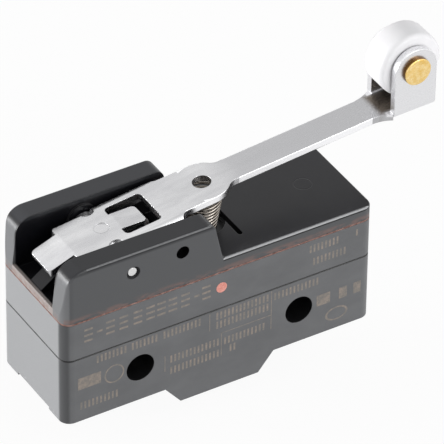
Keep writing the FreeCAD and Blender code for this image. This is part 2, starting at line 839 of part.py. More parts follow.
def moving_contact():
    """Double-faced silver contact riveted in the blade's free end."""
    x = contact_from_middle
    low = upright(contact_radius, x, 0, z_blade - contact_height, z_blade)
    high = upright(contact_radius, x, 0, z_blade_top, z_blade_top + contact_height)
    return low.fuse(high).fuse(upright(contact_shank_radius, x, 0, z_blade, z_blade_top)).removeSplitter()


def nc_contact():
    """Fixed contact above the moving one, closed at rest."""
    face = z_nc_arm - contact_height
    head = upright(contact_radius, contact_from_middle, 0, face, z_nc_arm)
    shank = upright(contact_shank_radius, contact_from_middle, 0, z_nc_arm, z_nc_arm + strip)
    return head.fuse(shank).removeSplitter()


def no_contact():
    """Fixed contact below the moving one, open at rest."""
    low = z_no_arm + strip
    head = upright(contact_radius, contact_from_middle, 0, low, low + contact_height)
    shank = upright(contact_shank_radius, contact_from_middle, 0, z_no_arm, low)
    return head.fuse(shank).removeSplitter()


def terminal_plate(x, y_high, seat, x_half):
    """Flat plate under the base, with the screw's hole."""
    body = block(x - x_half, x + x_half, -plate_half, y_high, seat - strip, seat)
    return body.cut(upright(screw_radius + screw_fit, x, 0, seat - strip - margin, seat + margin))


def com_terminal():
    """Common terminal: plate, riser, long arm under the blade and the hook that the tongue presses on."""
    outer = -terminal_from_middle + plate_half
    hook_top = z_com_arm + strip + hook_height
    path = [(hook_from_middle, hook_top, 0), (hook_from_middle, z_com_arm, strip_bend),
            (-riser_face, z_com_arm, strip_bend), (-riser_face, z_seat, strip_bend), (outer, z_seat, 0)]
    half = strip_width / 2
    body = prism(folded_outline(path, strip), "side", -half, half)
    body = body.fuse(terminal_plate(-terminal_from_middle, plate_half, z_seat, plate_half))
    low = z_seat - strip - margin
    body = body.cut(upright(screw_radius + screw_fit, -terminal_from_middle, 0, low, z_floor))
    hole = upright(anchor_rivet_radius + rivet_hole_fit, anchor_middle(), 0, z_com_arm - margin, z_blade)
    return body.cut(hole).removeSplitter()


def no_terminal():
    """Normally open terminal: plate, riser at the right end and a short arm under the contact."""
    inner = terminal_from_middle - plate_half
    path = [(inner, z_seat, 0), (riser_face, z_seat, strip_bend), (riser_face, z_no_arm, strip_bend),
            (contact_from_middle - contact_overhang, z_no_arm, 0)]
    half = strip_width / 2
    body = prism(folded_outline(path, strip), "side", -half, half)
    body = body.fuse(terminal_plate(terminal_from_middle, plate_half, z_seat, plate_half))
    low = z_seat - strip - margin
    body = body.cut(upright(screw_radius + screw_fit, terminal_from_middle, 0, low, z_floor))
    hole = upright(contact_shank_radius + rivet_hole_fit, contact_from_middle, 0, z_no_arm - margin, z_blade)
    return body.cut(hole).removeSplitter()


def nc_terminal():
    """Normally closed terminal: plate under the block, riser beside the blade and an arm over it."""
    half = nc_width / 2
    path = [(-plate_half, z_block_seat, 0), (nc_riser_offset, z_block_seat, strip_bend),
            (nc_riser_offset, z_nc_arm, strip_bend), (-half, z_nc_arm, 0)]
    body = prism(folded_outline(path, strip), "across", nc_left, nc_right)
    body = body.fuse(terminal_plate(0, plate_half, z_block_seat, plate_half))
    body = body.cut(upright(screw_radius + screw_fit, 0, 0, z_block_seat - strip - margin, z_floor))
    tip = contact_from_middle + contact_overhang
    body = body.fuse(block(nc_left, tip, -half, half, z_nc_arm, z_nc_arm + strip))
    shank_hole = contact_shank_radius + rivet_hole_fit
    hole = upright(shank_hole, contact_from_middle, 0, z_nc_arm - margin, z_nc_arm + margin)
    return body.cut(hole).removeSplitter()


def terminal_screw(x, seat):
    """Pan-head screw with a cross recess, driven upwards into the terminal."""
    bearing = seat - strip - washer_thickness
    tip = bearing + screw_length
    shank = upright(screw_radius, x, 0, bearing - screw_head_round, tip)
    shank = shank.makeChamfer(screw_chamfer, level_edges(shank, tip))
    low = bearing - screw_head_height
    head = upright(screw_head_radius, x, 0, low, bearing)
    head = head.makeFillet(screw_head_round, level_edges(head, low))
    deep = low + cross_depth
    for along, across in ((cross_length, cross_width), (cross_width, cross_length)):
        head = head.cut(block(x - along / 2, x + along / 2, -across / 2, across / 2, low - margin, deep))
    return head.fuse(shank).removeSplitter()


def clamp_washer(x, seat):
    """Square washer between the screw's head and the terminal plate."""
    high = seat - strip
    outline = rectangle(x - washer_half, x + washer_half, -washer_half, washer_half, washer_round)
    body = prism(outline, "flat", high - washer_thickness, high)
    return body.cut(upright(screw_radius + washer_hole_clearance, x, 0, high - margin, high + margin))


roller_z = fork_top(roller_x) + roller_floor_gap + roller_radius

nodes = {
    "base_case": base_case(), "cover": cover(), "seal_gasket": seal_gasket(),
    "actuator_housing": actuator_housing(), "pivot_pin": pivot_pin(), "lever": lever(),
    "roller": roller(), "roller_rivet": roller_rivet(), "return_spring": return_spring(),
    "plunger": plunger(), "snap_blade": snap_blade(), "moving_contact": moving_contact(),
    "blade_anchor": blade_anchor(), "anchor_rivet": anchor_rivet(), "com_terminal": com_terminal(),
    "nc_terminal": nc_terminal(), "no_terminal": no_terminal(), "nc_contact": nc_contact(),
    "no_contact": no_contact(),
}
for terminal, (x, seat, foot) in zip(("com", "nc", "no"), screw_places()):
    nodes["terminal_screw_" + terminal] = terminal_screw(x, seat)
    nodes["clamp_washer_" + terminal] = clamp_washer(x, seat)

for name, shape in nodes.items():
    shape.exportStep("parts/" + name + ".step")
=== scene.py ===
import logging
import math
from dataclasses import dataclass, field, replace
from enum import Enum

import bmesh
import bpy
import numpy as np
from bpy.types import ID, Material, Node, NodeSocket, NodeTree, Object
from mathutils import Matrix, Vector


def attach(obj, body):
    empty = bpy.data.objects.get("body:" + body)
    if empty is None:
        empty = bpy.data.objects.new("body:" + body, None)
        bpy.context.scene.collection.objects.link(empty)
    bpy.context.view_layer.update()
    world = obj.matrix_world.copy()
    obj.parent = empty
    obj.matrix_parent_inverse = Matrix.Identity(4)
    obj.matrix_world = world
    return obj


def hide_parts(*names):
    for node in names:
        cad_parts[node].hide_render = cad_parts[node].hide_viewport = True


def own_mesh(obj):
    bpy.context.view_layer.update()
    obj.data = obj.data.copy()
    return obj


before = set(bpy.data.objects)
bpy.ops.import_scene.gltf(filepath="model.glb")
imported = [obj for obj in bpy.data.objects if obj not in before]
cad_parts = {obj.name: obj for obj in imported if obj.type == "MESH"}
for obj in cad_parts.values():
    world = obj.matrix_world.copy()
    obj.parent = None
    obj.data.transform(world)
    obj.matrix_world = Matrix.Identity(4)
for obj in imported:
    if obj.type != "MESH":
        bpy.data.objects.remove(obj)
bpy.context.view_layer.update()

# Looks of a long-lever snap switch: grey moulded case in two halves, red-brown seal, black housing with
# two cheeks, folded stainless lever, white roller on a brass rivet and a conical return spring.
# All sizes are in millimetres, and MM turns them to metres where a mesh, lamp or pattern is made.

MM = 0.001
LOG = logging.getLogger("lever_switch")

# A place or a size, along X, Y and Z.
Triple = tuple[float, float, float]

# Points closer than this, in metres, are one point, and edges shorter than the second go.
SAME_POINT = 1e-7
NO_EDGE = 1e-8

# A noise lies mostly in the middle of 0 to 1, so these limits stretch it for clouds, grain and patches.
CLOUD_LIMITS = (0.35, 0.65)
GRAIN_LIMITS = (0.3, 0.7)
PATCH_LIMITS = (0.42, 0.58)

# Patches of a ragged band are this many times as long along X as across.
PATCH_STRETCH = 3

# Rays that look for a near edge, to round its shading.
EDGE_SAMPLES = 8

WHITE = (1, 1, 1, 1)

# Numbers of the colour sockets of the mixing node.
MIX_SHARE, MIX_FIRST, MIX_SECOND, MIX_RESULT = 0, 6, 7, 2


class Ray(Enum):
    """Kinds of ray that see the pale surroundings as they are written."""

    CAMERA = "Is Camera Ray"
    GLOSSY = "Is Glossy Ray"
    THROUGH = "Is Transmission Ray"


def linear(hex_colour: str) -> tuple[float, float, float, float]:
    """Turns an sRGB hex colour to linear light.

    Args:
        hex_colour: six hex digits, with or without a leading hash.

    Returns:
        Red, green and blue in linear light, and an alpha of 1.
    """
    digits = hex_colour.lstrip("#")
    parts = [int(digits[place:place + 2], 16) / 255 for place in (0, 2, 4)]
    return tuple(p / 12.92 if p <= 0.04045 else ((p + 0.055) / 1.055) ** 2.4 for p in parts) + (1.0,)


def add_node(tree: NodeTree, kind: str, sockets: dict | None = None, **settings) -> Node:
    """Adds a node with its settings, values and links.

    Args:
        tree: the node tree that it goes into.
        kind: the node's type, without the ShaderNode that starts every type.
        sockets: for each input's name or number, a value or an output socket to link it to.
        **settings: properties of the node itself.

    Returns:
        The new node.
    """
    node = tree.nodes.new("ShaderNode" + kind)
    for name, value in settings.items():
        setattr(node, name, value)
    for name, value in (sockets or {}).items():
        if isinstance(value, NodeSocket):
            tree.links.new(value, node.inputs[name])
        else:
            node.inputs[name].default_value = value
    return node


def chain(tree: NodeTree, kind: str, value: NodeSocket | float, *steps: tuple) -> NodeSocket:
    """Passes a value through operations, one after another.

    Args:
        tree: the node tree.
        kind: the type of the nodes that work out the operations.
        value: the first value.
        *steps: for each node its operation, then the values that follow the one passed on.

    Returns:
        The last result's socket.
    """
    for operation, *others in steps:
        value = add_node(tree, kind, dict(enumerate([value, *others])), operation=operation).outputs[0]
    return value


def noise(tree: NodeTree, place: NodeSocket, sizes_mm: Triple, detail: float,
          roughness: float) -> NodeSocket:
    """Noise whose marks have a real size.

    Args:
        tree: the material's nodes.
        place: the object coordinates.
        sizes_mm: the size of the marks along X, Y and Z.
        detail: number of finer layers.
        roughness: how much the finer layers count.

    Returns:
        The noise's socket, from 0 to 1.
    """
    scale = tuple(1 / (size * MM) for size in sizes_mm)
    spot = add_node(tree, "Mapping", {"Vector": place, "Scale": scale}).outputs[0]
    return add_node(tree, "TexNoise", {
        "Vector": spot, "Scale": 1.0, "Detail": detail, "Roughness": roughness}).outputs["Fac"]


def link_object(name: str, data: ID) -> Object:
    """Puts a new object into the scene.

    Args:
        name: its name.
        data: its mesh, lamp or camera.

    Returns:
        The object.
    """
    thing = bpy.data.objects.new(name, data)
    bpy.context.scene.collection.objects.link(thing)
    return thing


# Surfaces.


def grid_quads(rows: int, columns: int, wrap_rows: bool, wrap_columns: bool) -> np.ndarray:
    """Corner numbers of the quads of a grid of points, stored row by row.

    Args:
        rows: number of rows.
        columns: number of points in a row.
        wrap_rows: True if the last row joins the first.
        wrap_columns: True if a row's last point joins its first.

    Returns:
        An array of four corner numbers a quad.
    """
    row = np.arange(rows if wrap_rows else rows - 1)[:, None]
    column = np.arange(columns if wrap_columns else columns - 1)[None, :]
    row_after = (row + 1) % rows
    column_after = (column + 1) % columns
    corners = [row * columns + column, row_after * columns + column,
               row_after * columns + column_after, row * columns + column_after]
    return np.stack([np.broadcast_to(c, (row.size, column.size)) for c in corners], axis=-1).reshape(-1, 4)


def make_piece(name: str, points: np.ndarray, faces: np.ndarray, sharp_degrees: float = 35.0) -> Object:
    """Makes a closed piece from points in millimetres, with doubles merged and faces outwards.

    Args:
        name: the piece's name.
        points: an array of points, three numbers each.
        faces: an array of corner numbers, one row a face.
        sharp_degrees: edges that turn by more than this stay sharp.

    Returns:
        The new object, at the origin.
    """
    mesh = bpy.data.meshes.new(name)
    mesh.from_pydata((points.reshape(-1, 3) * MM).tolist(), [], faces.tolist())
    work = bmesh.new()
    work.from_mesh(mesh)
    bmesh.ops.remove_doubles(work, verts=work.verts, dist=SAME_POINT)
    bmesh.ops.dissolve_degenerate(work, edges=work.edges, dist=NO_EDGE)
    bmesh.ops.recalc_face_normals(work, faces=work.faces)
    work.to_mesh(mesh)
    work.free()
    mesh.polygons.foreach_set("use_smooth", np.ones(len(mesh.polygons), bool))
    mesh.set_sharp_from_angle(angle=math.radians(sharp_degrees))
    mesh.update()
    return link_object(name, mesh)


def rounded_profile(corners: np.ndarray, radii: np.ndarray, steps: int, closed: bool) -> np.ndarray:
    """Profile through corners, each rounded by an arc.

    An arc's centre lies on its corner's bisector, the radius over the sine of half the corner's angle away.
    A point of the arc at share s is centre + radius * (sin((1 - s) w) a + sin(s w) b) / sin(w), where a and
    b point from the centre to the arc's ends and w is the angle between them.

    Args:
        corners: the corners, two numbers each.
        radii: the radius at each corner.
        steps: points on each arc.
        closed: False leaves the first and last corners as they are.

    Returns:
        The profile's points, two numbers each.
    """
    before = np.roll(corners, 1, axis=0) - corners
    after = np.roll(corners, -1, axis=0) - corners
    before /= np.linalg.norm(before, axis=1, keepdims=True)
    after /= np.linalg.norm(after, axis=1, keepdims=True)
    limit = 1 - 1e-9
    angle = np.arccos(np.clip((before * after).sum(1), -limit, limit))
    bisector = before + after
    bisector /= np.linalg.norm(bisector, axis=1, keepdims=True)
    centre = corners + bisector * (radii / np.sin(angle / 2))[:, None]
    reach = (radii / np.tan(angle / 2))[:, None]
    start = corners + before * reach - centre
    end = corners + after * reach - centre
    turn = (math.pi - angle)[:, None]
    share = np.linspace(0, 1, steps)[None, :]
    weights = np.sin((1 - share) * turn) / np.sin(turn), np.sin(share * turn) / np.sin(turn)
    arcs = centre[:, None] + start[:, None] * weights[0][..., None] + end[:, None] * weights[1][..., None]
    if closed:
        return arcs.reshape(-1, 2)
    return np.vstack([corners[:1], arcs[1:-1].reshape(-1, 2), corners[-1:]])


def turned(profile: np.ndarray, centre: Triple, steps: int, closed: bool,
           wobble: np.ndarray | None = None) -> tuple[np.ndarray, np.ndarray]:
    """Surface turned about an axis along Y.

    A point is centre + (radius * cos a, height, radius * sin a), for each pair (radius, height) of the
    profile and each angle a.

    Args:
        profile: pairs of radius and height.
        centre: the point of the axis that heights are counted from.
        steps: number of angles round the axis.
        closed: True if the profile is a closed loop, as round a bore.
        wobble: extra height for each profile point and angle.

    Returns:
        The points and the quads.
    """
    angle = np.linspace(0, 2 * math.pi, steps, endpoint=False)[None, :]
    radius, height = profile[:, :1], profile[:, 1:]
    across, up = radius * np.cos(angle), radius * np.sin(angle)
    along = np.broadcast_to(height, across.shape) + (0 if wobble is None else wobble)
    points = np.stack([across, along, up], axis=-1) + np.array(centre)
    return points, grid_quads(len(profile), steps, closed, True)


def carried(path: np.ndarray, side: np.ndarray, up: np.ndarray, section: np.ndarray) -> np.ndarray:
    """Section carried along a path: point = path + side * section's first number + up * its second.

    Args:
        path: the path's points.
        side: the first direction of the section's plane at each point.
        up: the second direction there.
        section: the section's points for each path point.

    Returns:
        The grid of points, one row a path point.
    """
    return path[:, None] + side[:, None] * section[..., :1] + up[:, None] * section[..., 1:]


def slabs(centres: np.ndarray, sizes: np.ndarray, face_y: float,
          proud: float) -> tuple[np.ndarray, np.ndarray]:
    """Thin closed slabs of ink on an upright face: a unit box's corners times each size, plus its centre.

    A slab goes twice as far into the face as it stands out of it.

    Args:
        centres: the middle of each slab, along the face and up it.
        sizes: its length and height.
        face_y: where the face lies.
        proud: how far the ink stands out of it.

    Returns:
        The points and the quads.
    """
    unit = np.array([(x, y, z) for y in (0, 1) for x, z in ((-.5, -.5), (.5, -.5), (.5, .5), (-.5, .5))])
    x = centres[:, :1] + unit[None, :, 0] * sizes[:, :1]
    z = centres[:, 1:] + unit[None, :, 2] * sizes[:, 1:]
    y = np.broadcast_to(face_y - proud + unit[None, :, 1] * 3 * proud, x.shape)
    box = np.array([(0, 1, 2, 3), (4, 7, 6, 5), (0, 4, 5, 1), (1, 5, 6, 2), (2, 6, 7, 3), (3, 7, 4, 0)])
    quads = (box[None] + 8 * np.arange(len(centres))[:, None, None]).reshape(-1, 4)
    return np.stack([x, y, z], axis=-1), quads


# Finishes.


@dataclass(frozen=True)
class Band:
    """A box of a surface that has its own colour, such as a dark joint line or a shaded pocket."""

    colour: str
    middle: Triple
    half: Triple
    fade_mm: float = 0.05
    strength: float = 1.0
    ragged: float = 0.0

    def outside(self, tree: NodeTree, place: NodeSocket) -> NodeSocket:
        """Distance outside the box: the largest of |p - middle| - half over the three directions.

        Args:
            tree: the material's nodes.
            place: the object coordinates.

        Returns:
            The distance's socket, below zero inside.
        """
        middle, half = (tuple(v * MM for v in numbers) for numbers in (self.middle, self.half))
        away = chain(tree, "VectorMath", place, ("SUBTRACT", middle), ("ABSOLUTE",), ("SUBTRACT", half))
        split = add_node(tree, "SeparateXYZ", {0: away}).outputs
        return chain(tree, "Math", split[0], ("MAXIMUM", split[1]), ("MAXIMUM", split[2]))

    def share(self, tree: NodeTree, place: NodeSocket) -> NodeSocket:
        """How much of the band's colour shows: one inside the box, fading over its edge.

        A ragged band also loses patches, by a noise that is drawn out along X.

        Args:
            tree: the material's nodes.
            place: the object coordinates.

        Returns:
            The share's socket.
        """
        inside = add_node(tree, "MapRange", {
            "Value": self.outside(tree, place), "From Min": 0.0, "From Max": self.fade_mm * MM,
            "To Min": self.strength, "To Max": 0.0}, interpolation_type="SMOOTHSTEP").outputs[0]
        if not self.ragged:
            return inside
        sizes = (self.ragged * PATCH_STRETCH, self.ragged, self.ragged)
        patch = noise(tree, place, sizes, detail=3.0, roughness=0.6)
        kept = add_node(tree, "MapRange", {
            "Value": patch, "From Min": PATCH_LIMITS[0], "From Max": PATCH_LIMITS[1]}).outputs[0]
        return add_node(tree, "Math", {0: inside, 1: kept}, operation="MULTIPLY").outputs[0]


@dataclass(frozen=True)
class Bore(Band):
    """The wall of a round hole along Y: its half size is the radius, half its length and the radius.

    The circle lies in the directions where flat is 1, and the band on its inner side where inner is 1 or
    on its outer side where inner is -1.
    """

    flat: tuple[int, int, int] = (1, 0, 1)
    radius_at: int = 0
    length_at: int = 1
    inner: int = 1

    def outside(self, tree: NodeTree, place: NodeSocket) -> NodeSocket:
        """Distance outside the band: the larger of (distance from the axis - radius) * inner and |y| - half.

        Args:
            tree: the material's nodes.
            place: the object coordinates.

        Returns:
            The distance's socket, below zero inside.
        """
        away = chain(tree, "VectorMath", place, ("SUBTRACT", tuple(v * MM for v in self.middle)))
        flat = chain(tree, "VectorMath", away, ("MULTIPLY", self.flat))
        reach = add_node(tree, "VectorMath", {0: flat}, operation="LENGTH").outputs["Value"]
        radius, half = self.half[self.radius_at] * MM, self.half[self.length_at] * MM
        across = chain(tree, "Math", reach, ("SUBTRACT", radius), ("MULTIPLY", self.inner))
        along = add_node(tree, "SeparateXYZ", {0: away}).outputs[self.length_at]
        return chain(tree, "Math", along, ("ABSOLUTE",), ("SUBTRACT", half), ("MAXIMUM", across))


@dataclass(frozen=True)
class Rim(Bore):
    """The upright edge of a round head: its half size is its reach along X, the radius and its height."""

    flat: tuple[int, int, int] = (1, 1, 0)
    radius_at: int = 1
    length_at: int = 0
    inner: int = -1


def both_sides(band: Band) -> tuple[Band, Band]:
    """A band and its mirror image on the other side, at minus its Y."""
    x, y, z = band.middle
    return band, replace(band, middle=(x, -y, z))


@dataclass(frozen=True)
class Finish:
    """One surface, by what it is made of and how it was made.

    Colour lies in soft clouds between two tones. A finer grain, which may be stretched along one
    direction, gives the bump and moves the roughness.
    """

    name: str
    colour: str
    second: str
    metallic: float = 0.0
    roughness: float = 0.5
    roughness_swing: float = 0.05
    ior: float = 1.5
    anisotropic: float = 0.0
    cloud_mm: Triple = (6.0, 6.0, 6.0)
    grain_mm: Triple = (0.2, 0.2, 0.2)
    grain_depth_mm: float = 0.004
    edge_mm: float = 0.0
    bands: tuple[Band, ...] = ()

    def material(self) -> Material:
        """Builds the material.

        Returns:
            The new material, with its shader, colour, grain and bump.
        """
        material = bpy.data.materials.new(self.name)
        material.use_nodes = True
        tree = material.node_tree
        tree.nodes.clear()
        place = add_node(tree, "TexCoord").outputs["Object"]
        colour = self.tint(tree, place)
        grain = self.grain(tree, place)
        rough = add_node(tree, "MapRange", {
            "Value": grain, "From Min": GRAIN_LIMITS[0], "From Max": GRAIN_LIMITS[1],
            "To Min": self.roughness - self.roughness_swing,
            "To Max": self.roughness + self.roughness_swing}).outputs[0]
        relief = self.relief(tree, place, grain)
        normal = add_node(tree, "Bump", {
            "Height": relief, "Distance": self.grain_depth_mm * MM, "Strength": 1.0})
        if self.edge_mm:
            edge = add_node(tree, "Bevel", {"Radius": self.edge_mm * MM}, samples=EDGE_SAMPLES).outputs[0]
            tree.links.new(edge, normal.inputs["Normal"])
        shader = add_node(tree, "BsdfPrincipled", {
            "Base Color": colour, "Roughness": rough, "Normal": normal.outputs[0],
            "Metallic": self.metallic, "IOR": self.ior, "Anisotropic": self.anisotropic})
        add_node(tree, "OutputMaterial", {"Surface": shader.outputs[0]})
        return material

    def tint(self, tree: NodeTree, place: NodeSocket) -> NodeSocket:
        """Colour in soft clouds between the two tones, with the bands laid over it in their order.

        Args:
            tree: the material's nodes.
            place: the object coordinates.

        Returns:
            The colour's socket.
        """
        colour = linear(self.colour)
        cloud = noise(tree, place, self.cloud_mm, detail=4.0, roughness=0.6)
        clouded = add_node(tree, "MapRange", {
            "Value": cloud, "From Min": CLOUD_LIMITS[0], "From Max": CLOUD_LIMITS[1]}).outputs[0]
        layers = [(clouded, self.second)] + [(band.share(tree, place), band.colour) for band in self.bands]
        for share, other in layers:
            sockets = {MIX_SHARE: share, MIX_FIRST: colour, MIX_SECOND: linear(other)}
            colour = add_node(tree, "Mix", sockets, data_type="RGBA").outputs[MIX_RESULT]
        return colour

    def grain(self, tree: NodeTree, place: NodeSocket) -> NodeSocket:
        """Fine grain, from 0 to 1.

        Args:
            tree: the material's nodes.
            place: the object coordinates.

        Returns:
            The grain's socket.
        """
        return noise(tree, place, self.grain_mm, detail=3.0, roughness=0.55)

    def relief(self, tree: NodeTree, place: NodeSocket, grain: NodeSocket) -> NodeSocket:
        """Height for the bump: the grain alone, unless a kind of surface adds its own marks."""
        return grain


@dataclass(frozen=True)
class DeckMoulding(Finish):
    """Black moulding whose deck carries the ring that an ejector pin leaves."""

    ring_x: float = 18.6
    ring_y: float = 0.4
    ring_radius: float = 1.3
    ring_half_width: float = 0.12
    ring_height: float = 9.0

    def relief(self, tree: NodeTree, place: NodeSocket, grain: NodeSocket) -> NodeSocket:
        """Grain less a shallow ring: the distance from the ring's radius, faded over its half width.

        Args:
            tree: the material's nodes.
            place: the object coordinates.
            grain: the grain's socket.

        Returns:
            The height's socket.
        """
        flat = chain(tree, "VectorMath", place, ("MULTIPLY", (1, 1, 0)))
        away = add_node(tree, "VectorMath", {
            0: flat, 1: (self.ring_x * MM, self.ring_y * MM, 0)}, operation="DISTANCE").outputs["Value"]
        distance = chain(tree, "Math", away, ("SUBTRACT", self.ring_radius * MM), ("ABSOLUTE",))
        ring = add_node(tree, "MapRange", {
            "Value": distance, "From Min": 0.0, "From Max": self.ring_half_width * MM,
            "To Min": -self.ring_height, "To Max": 0.0}, interpolation_type="SMOOTHSTEP").outputs[0]
        return add_node(tree, "Math", {0: grain, 1: ring}, operation="ADD").outputs[0]


# Phenolic moulding compound: a dark grey thermoset with mineral filler. The filler gives faint clouds and
# a dry surface, and the steel mould a fine even grain, so it takes a broad dull highlight.
# The joint of the base and the cover collects shadow and dust, so a dark line runs round it. The left end
# is painted paler than the other faces, as painted light from the side lamp, with a painted shaded strip down
# its front corner, and the walls of the mounting holes are painted near black, as painted shade.
PHENOLIC = Finish("moulded_phenolic", "#57585a", "#606163", roughness=0.44, ior=1.5,
                  cloud_mm=(9, 9, 5), grain_mm=(0.16, 0.16, 0.16), grain_depth_mm=0.004, edge_mm=0.15,
                  bands=(Band("#868789", (-24.95, 0.5, 0), (0.5, 7.3, 14), 0.6),
                         Band("#3b3c3e", (-24.4, -8.1, 0), (0.4, 0.55, 14), 0.5),
                         Band("#0b0b0c", (0, 0, 5.25), (40, 40, 0.12), 0.06),
                         Bore("#08080a", (-12.7, 0, 0), (2.22, 8.66, 2.22), 0.03),
                         Bore("#08080a", (12.7, 0, 0), (2.22, 8.66, 2.22), 0.03)))

# Black glass-filled polymer of the housing: smoother than the case and almost black, with a soft sheen.
# The grain is drawn at 0.2 mm, coarser than the mould's own 0.05 mm, so that it shows at all.
# Its channel, the spring's recess and the cross hole are painted darker still, as painted shade, and the
# seal has left salmon smears on its lowest edge.
# Its outer front and back walls are painted a lighter grey, and its left end lighter again with a lit pinkish
# strip above the seal, as painted light from the side lamps; its deck and pockets stay almost black.
# The near deck edge and the near cheek's top edge each carry a painted highlight, a thin pale line over a
# painted dark line, and the cheeks' tops are paler than the deck, the far cheek's top more than the near
# one's.
HOUSING = DeckMoulding("moulded_black_polymer", "#151519", "#1b1b1f", roughness=0.34, ior=1.37,
                       cloud_mm=(7, 7, 4), grain_mm=(0.2, 0.2, 0.2), grain_depth_mm=0.003, edge_mm=0.15,
                       bands=(*both_sides(Band("#4d4e50", (0, -9.3, 16), (40, 0.7, 9), 0.12)),
                              Band("#68696b", (-25, 0, 16), (1.2, 40, 9), 0.3),
                              Band("#8d8582", (-25, 0, 12), (0.8, 5.6, 0.9), 0.1),
                              Band("#0c0c0e", (12.4, -8.8, 13.38), (12, 0.4, 0.07), 0.05),
                              Band("#a5a6a8", (12.4, -8.8, 13.6), (12, 0.4, 0.07), 0.05),
                              Band("#0c0c0e", (-11.2, -8.8, 19.74), (9.8, 0.4, 0.07), 0.05),
                              Band("#a5a6a8", (-11.2, -8.8, 19.98), (9.8, 0.4, 0.07), 0.05),
                              Band("#26272a", (0, 0, 20.6), (40, 40, 1.0), 0.4, 0.7),
                              Band("#36373b", (-11.5, 7.3, 20.6), (13.5, 1.5, 1.0), 0.4, 0.8),
                              Band("#7a5f58", (0, 0, 11.8), (40, 40, 0.25), 0.7, 0.55, 0.7),
                              Band("#0c0c10", (-13.6, 0, 13.4), (10.4, 5.6, 5.9), 0.3),
                              Band("#050506", (2.0, 0, 12.2), (4.4, 4.4, 1.4), 0.05),
                              Bore("#050506", (-6.08, 0, 17.3), (1.04, 8.66, 1.04), 0.03)))

# Thin rubber-bound seal: red-brown iron oxide filler, dull, with a salmon bloom where it is squeezed out.
SEAL = Finish("red_brown_seal_rubber", "#6c4840", "#96766d", roughness=0.7, ior=1.45,
              cloud_mm=(1.1, 1.1, 0.5), grain_mm=(0.12, 0.12, 0.12), grain_depth_mm=0.02)

# Cold-rolled stainless sheet, bright annealed: rolling leaves hair-fine lines along the sheet, here along X.
# They are drawn 0.06 mm wide, several times the real 0.01 mm, so that they show.
# The arm is painted a darker grey as painted reflection, and the fork's floor under the roller a brown grey
# as painted shade; the ears are painted paler, and the cut edges, the folds and the head's round edge near
# white, as painted highlights.
STAINLESS = Finish("rolled_stainless_sheet", "#d4d4d5", "#c0c0c2", metallic=1.0, roughness=0.3,
                   roughness_swing=0.09, anisotropic=0.35, cloud_mm=(12, 3, 6), grain_mm=(2.5, 0.06, 0.06),
                   grain_depth_mm=0.0012, edge_mm=0.12,
                   bands=(Band("#b6b6b8", (20, 0, 24), (12, 6, 10), 5.0),
                          Band("#6a6259", (34, 0, 23.6), (4, 1.7, 1.0), 1.2),
                          *both_sides(Band("#e4e4e6", (34.15, -3.1, 29), (4, 0.65, 5.8), 0.3)),
                          *both_sides(Band("#fafafc", (17.3, -2.85, 24), (10.7, 0.55, 10), 0.04)),
                          *both_sides(Band("#f4f4f6", (-4.5, -5.2, 17), (9, 0.6, 6), 0.4)),
                          *both_sides(Band("#fafafc", (-1.3, -4.4, 20), (1.6, 0.46, 5), 0.03)),
                          Rim("#fafafc", (2, 0, 20), (1.7, 3.92, 9), 0.04)))

# Ground steel pin: bright, with fine turning lines round it.
PIN_STEEL = Finish("ground_steel_pin", "#dedede", "#d2d2d2", metallic=1.0, roughness=0.22,
                   cloud_mm=(2, 2, 2), grain_mm=(0.1, 0.1, 0.1), grain_depth_mm=0.001)

# Drawn stainless spring wire: the die leaves it smooth and bright, with faint lines along the wire.
SPRING_WIRE = Finish("drawn_spring_wire", "#a8a29b", "#857d74", metallic=1.0, roughness=0.24,
                     cloud_mm=(1, 1, 1), grain_mm=(0.08, 0.08, 0.08), grain_depth_mm=0.001)

# Moulded nylon: translucent white with a soft gloss. Light that enters comes out nearby, which is painted
# here as a clean, slightly cool white.
NYLON = Finish("moulded_white_nylon", "#ebeaec", "#e6e6e8", roughness=0.42, ior=1.53,
               cloud_mm=(4, 4, 4), grain_mm=(0.25, 0.25, 0.25), grain_depth_mm=0.003)

# Turned brass, with a head worked over by a spinning tool: pale gold where it was worked, and brown with
# tarnish round the sides of both heads.
BRASS = Finish("worked_brass", "#e6bf6c", "#f5dba0", metallic=1.0, roughness=0.3, roughness_swing=0.1,
               cloud_mm=(0.55, 0.55, 0.55), grain_mm=(0.22, 0.22, 0.22), grain_depth_mm=0.02,
               bands=both_sides(Band("#6a4a24", (34.15, -3.62, 29.9), (5, 0.3, 5), 0.12)))

# Stamped brass strip of the terminals: rolled, plain, slightly dulled by air.
STRIP_BRASS = Finish("stamped_brass_strip", "#c9a667", "#b8935a", metallic=1.0, roughness=0.34,
                     cloud_mm=(3, 3, 3), grain_mm=(1.5, 0.08, 0.08), grain_depth_mm=0.002)

# Rolled beryllium copper of the blade: reddish, springy strip with a satin face.
BLADE_COPPER = Finish("rolled_copper_alloy", "#c98d6a", "#b97c5c", metallic=1.0, roughness=0.3,
                      cloud_mm=(3, 3, 3), grain_mm=(1.5, 0.06, 0.06), grain_depth_mm=0.001)

# Silver contact faces: headed from wire, white and soft, with a fine matt bloom.
SILVER = Finish("silver_contact_face", "#dddcd6", "#cfcdc4", metallic=1.0, roughness=0.35,
                cloud_mm=(0.8, 0.8, 0.8), grain_mm=(0.1, 0.1, 0.1), grain_depth_mm=0.004)

# Zinc-plated steel screws and washers, clear passivated: a bluish white crystalline sheen.
ZINC = Finish("zinc_plated_steel", "#c3c6c9", "#aeb2b4", metallic=1.0, roughness=0.33,
              roughness_swing=0.08, cloud_mm=(1.2, 1.2, 1.2), grain_mm=(0.3, 0.3, 0.3), grain_depth_mm=0.003)

# Moulded plunger: a smooth, almost black-brown phenolic pin with a soft gloss.
PLUNGER = Finish("moulded_plunger", "#2c1f1b", "#241a17", roughness=0.32, ior=1.55,
                 cloud_mm=(2, 2, 2), grain_mm=(0.2, 0.2, 0.2), grain_depth_mm=0.002)

